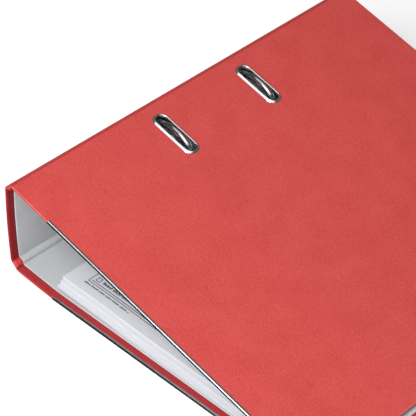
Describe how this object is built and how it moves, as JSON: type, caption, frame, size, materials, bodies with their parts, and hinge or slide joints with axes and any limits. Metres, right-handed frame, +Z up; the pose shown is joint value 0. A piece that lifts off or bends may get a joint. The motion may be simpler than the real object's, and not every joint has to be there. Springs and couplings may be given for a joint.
{
  "type": "lever arch file",
  "caption": "Red board lever arch file, closed on its back cover, with slotted front cover, edge rails, steel ring mechanism and loose A4 papers on the posts.",
  "frame": {"origin": "centre of the bounding box, on the surface that the back cover lies on", "axes": "+Z up from the back cover, +X from the spine to the fore edge, +Y from the bottom edge (the one with the steel rails) to the top edge"},
  "size_m": [0.287, 0.322, 0.0768],
  "materials": {
    "red_board": "matt embossed paper over board",
    "grey_lining": "matt paper",
    "nickel": "bright nickel plate",
    "steel": "satin plated steel",
    "sheet_paper": "uncoated office paper",
    "label_paper": "matt adhesive label"
  },
  "bodies": {
    "back_cover": {"back_cover_board": "red_board", "back_cover_lining": "grey_lining", "back_edge_rail": "nickel", "base_plate": "steel", "post_lower": "nickel", "post_upper": "nickel", "leaf_spring": "steel", "rivet_spine_lower": "steel", "rivet_spine_upper": "steel", "rivet_fore_lower": "steel", "rivet_fore_upper": "steel", "paper_block_bottom": "sheet_paper", "paper_block_middle": "sheet_paper", "paper_block_top": "sheet_paper"},
    "rear_strip": {"rear_hinge_strip_board": "red_board", "rear_hinge_strip_lining": "grey_lining"},
    "spine": {"spine_board": "red_board", "spine_lining": "grey_lining", "finger_ring": "nickel", "spine_label": "label_paper"},
    "front_strip": {"front_hinge_strip_board": "red_board", "front_hinge_strip_lining": "grey_lining"},
    "front_cover": {"front_cover_board": "red_board", "front_cover_lining": "grey_lining", "front_edge_rail": "nickel", "slot_eyelet_lower": "nickel", "slot_eyelet_upper": "nickel"},
    "arches": {"arch_wire": "nickel", "crank_tongue": "steel"},
    "lever": {"lever": "nickel", "lever_pin": "steel", "roller_pin": "steel"},
    "roller": {"lever_roller": "steel"}
  },
  "joints": [
    {"name": "spine_letdown", "type": "hinge", "parent": "back_cover", "child": "rear_strip", "pos_m": [-0.13665, 0, 0.0029], "axis": [0, -1, 0], "range_deg": [0, 25]},
    {"name": "spine_fold", "type": "hinge", "parent": "rear_strip", "child": "spine", "pos_m": [-0.14255, 0, 0.0088], "axis": [0, -1, 0], "range_deg": [0, 25]},
    {"name": "cover_opening", "type": "hinge", "parent": "spine", "child": "front_strip", "pos_m": [-0.14255, 0, 0.0722], "axis": [0, -1, 0], "range_deg": [0, 81]},
    {"name": "cover_fold", "type": "hinge", "parent": "front_strip", "child": "front_cover", "pos_m": [-0.13575, 0, 0.0768], "axis": [0, -1, 0], "range_deg": [0, 73]},
    {"name": "arch_swing", "type": "hinge", "parent": "back_cover", "child": "arches", "pos_m": [-0.13005, 0, 0.01], "axis": [0, -1, 0], "range_deg": [0, 50]},
    {"name": "lever_lift", "type": "hinge", "parent": "back_cover", "child": "lever", "pos_m": [-0.11155, 0, 0.0126], "axis": [0, 1, 0], "range_deg": [0, 80]},
    {"name": "roller_spin", "type": "hinge", "parent": "lever", "child": "roller", "pos_m": [-0.12055, 0, 0.01314], "axis": [0, 1, 0], "continuous": true}
  ],
  "couplings": [
    {"joint": "spine_fold", "follows": "spine_letdown", "ratio": 1},
    {"joint": "arch_swing", "follows": "spine_letdown", "ratio": 2},
    {"joint": "lever_lift", "follows": "spine_letdown", "ratio": 3.2},
    {"joint": "cover_fold", "follows": "cover_opening", "ratio": 0.9}
  ]
}
